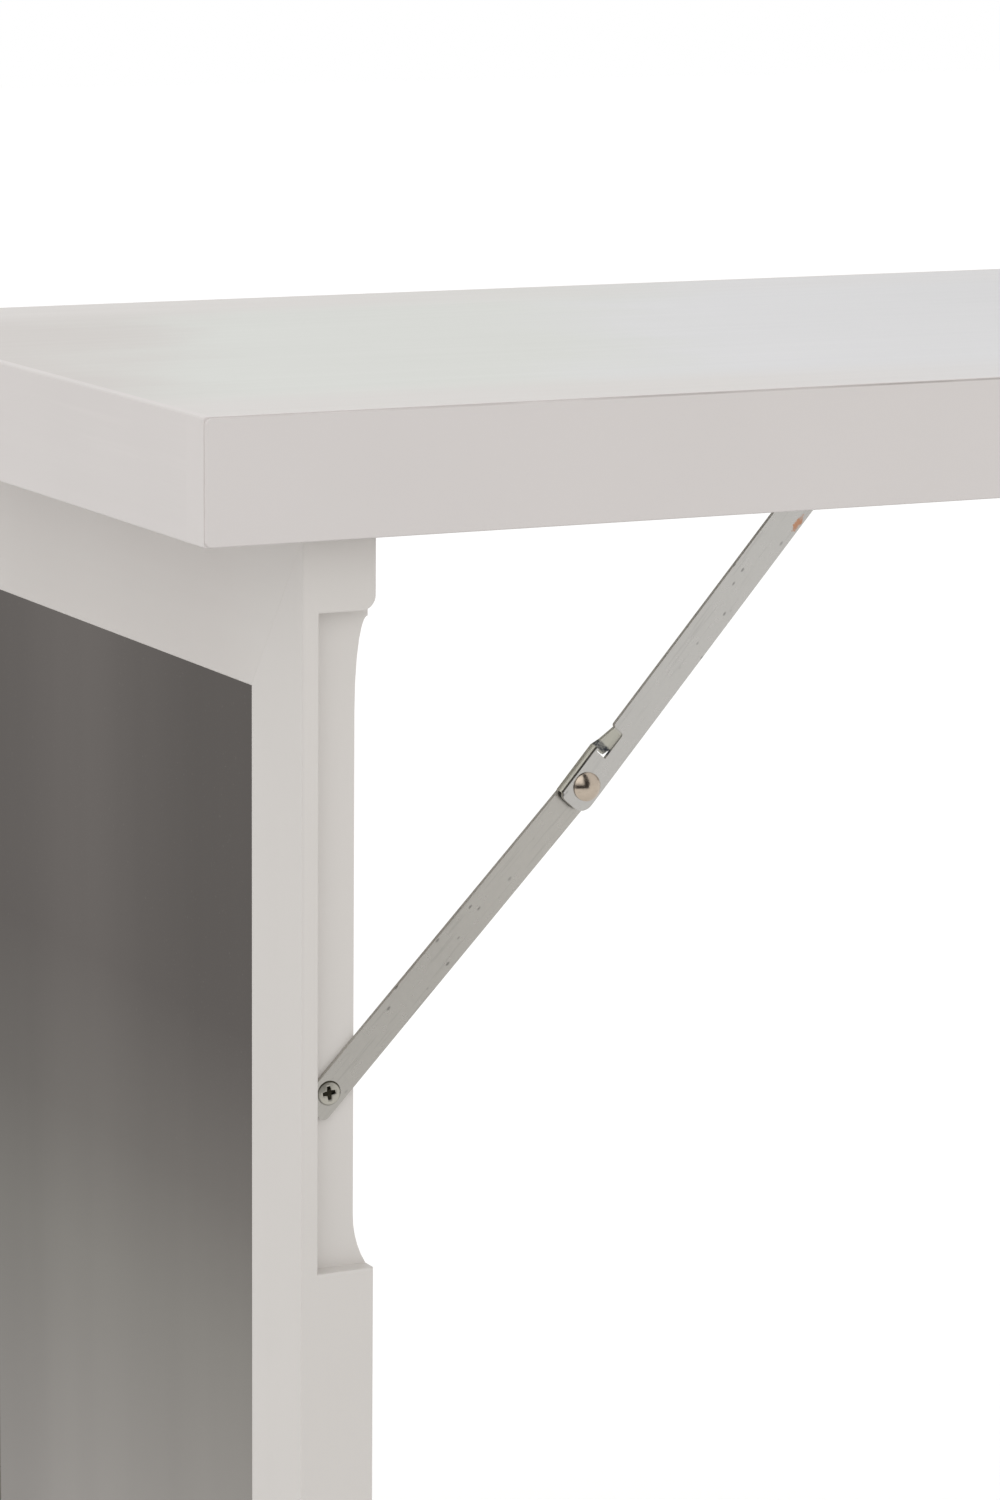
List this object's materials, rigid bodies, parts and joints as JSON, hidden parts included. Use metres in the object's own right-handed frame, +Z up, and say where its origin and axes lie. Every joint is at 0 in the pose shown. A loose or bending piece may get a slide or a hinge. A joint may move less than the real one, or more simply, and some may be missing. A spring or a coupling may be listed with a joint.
{
  "type": "fold-down wall table",
  "caption": "Narrow fold-down wall table: a shallow boxed leaf hinged to a wall board, with a framed mirror under its free end that folds out as the leg and is held by folding stays.",
  "frame": {"origin": "on the wall plane, in the middle of the table's width, level with the table top when the leaf is down", "axes": "+X into the wall (the leaf reaches out along -X), +Y to the left when facing the wall, +Z up"},
  "size_m": [0.841, 0.428, 1.5745],
  "materials": {
    "painted_board": "satin white paint on wood board",
    "painted_frame": "satin white paint on solid wood",
    "mirror_glass": "silvered flat glass",
    "hardboard": "brown hardboard",
    "zinc_steel": "zinc plated steel",
    "stay_steel": "plated steel with light scratches",
    "nickel": "warm nickel plate",
    "magnet_metal": "nickel plated magnet",
    "rubber": "grey rubber"
  },
  "bodies": {
    "wall_side": {"wall_board": "painted_board", "hinge_rail": "painted_board", "catch_rail": "painted_board", "rail_screws": "zinc_steel", "catch_magnets": "magnet_metal", "leaf_buffers": "rubber", "wall_hinge_plate_right": "zinc_steel", "wall_hinge_plate_left": "zinc_steel", "wall_hinge_pin_right": "zinc_steel", "wall_hinge_pin_left": "zinc_steel", "wall_hinge_screws": "zinc_steel"},
    "leaf": {"top_panel": "painted_board", "side_board_right": "painted_board", "side_board_left": "painted_board", "edge_strip_right": "painted_board", "edge_strip_left": "painted_board", "end_board": "painted_board", "wall_end_board": "painted_board", "hinge_batten": "painted_board", "leaf_magnets": "magnet_metal", "leaf_hinge_plate_right": "zinc_steel", "leaf_hinge_plate_left": "zinc_steel", "leaf_hinge_screws": "zinc_steel", "batten_hinge_plate_right": "zinc_steel", "batten_hinge_plate_left": "zinc_steel", "leg_hinge_pin_right": "zinc_steel", "leg_hinge_pin_left": "zinc_steel", "batten_hinge_screws": "zinc_steel", "stay_bush_right": "stay_steel", "stay_bush_left": "stay_steel", "stay_top_screw_right": "nickel", "stay_top_screw_left": "nickel"},
    "leg": {"stile_right": "painted_frame", "stile_left": "painted_frame", "leg_top_rail": "painted_frame", "leg_bottom_rail": "painted_frame", "mirror": "mirror_glass", "backing_board": "hardboard", "mirror_bead_top": "painted_frame", "mirror_bead_bottom": "painted_frame", "mirror_bead_right": "painted_frame", "mirror_bead_left": "painted_frame", "leg_glides": "rubber", "leg_hinge_plate_right": "zinc_steel", "leg_hinge_plate_left": "zinc_steel", "leg_hinge_screws": "zinc_steel", "stay_foot_screw_right": "nickel", "stay_foot_screw_left": "nickel"},
    "upper_stay_right": {"upper_arm_right": "stay_steel", "stay_rivet_right": "nickel", "stay_spacer_right": "stay_steel"},
    "lower_stay_right": {"lower_arm_right": "stay_steel", "stay_rivet_foot_right": "stay_steel"},
    "upper_stay_left": {"upper_arm_left": "stay_steel", "stay_rivet_left": "nickel", "stay_spacer_left": "stay_steel"},
    "lower_stay_left": {"lower_arm_left": "stay_steel", "stay_rivet_foot_left": "stay_steel"}
  },
  "joints": [
    {"name": "leaf_fold", "type": "hinge", "parent": "wall_side", "child": "leaf", "pos_m": [-0.0405, 0, 0.004], "axis": [0, 1, 0], "range_deg": [0, 90]},
    {"name": "leg_fold", "type": "hinge", "parent": "leaf", "child": "leg", "pos_m": [-0.784, 0, -0.0489], "axis": [0, -1, 0], "range_deg": [0, 90]},
    {"name": "upper_stay_pivot_right", "type": "hinge", "parent": "leaf", "child": "upper_stay_right", "pos_m": [-0.5552, 0, -0.038], "axis": [0, -1, 0], "range_deg": [-51.84, 0]},
    {"name": "lower_stay_pivot_right", "type": "hinge", "parent": "leg", "child": "lower_stay_right", "pos_m": [-0.7761, 0, -0.276], "axis": [0, -1, 0], "range_deg": [0, 39.96]},
    {"name": "upper_stay_pivot_left", "type": "hinge", "parent": "leaf", "child": "upper_stay_left", "pos_m": [-0.5552, 0, -0.038], "axis": [0, -1, 0], "range_deg": [-51.84, 0]},
    {"name": "lower_stay_pivot_left", "type": "hinge", "parent": "leg", "child": "lower_stay_left", "pos_m": [-0.7761, 0, -0.276], "axis": [0, -1, 0], "range_deg": [0, 39.96]}
  ],
  "couplings": [
    {"joint": "upper_stay_pivot_right", "follows": "leg_fold", "ratio": -0.57596},
    {"joint": "lower_stay_pivot_right", "follows": "leg_fold", "ratio": 0.44401},
    {"joint": "upper_stay_pivot_left", "follows": "leg_fold", "ratio": -0.57596},
    {"joint": "lower_stay_pivot_left", "follows": "leg_fold", "ratio": 0.44401}
  ]
}
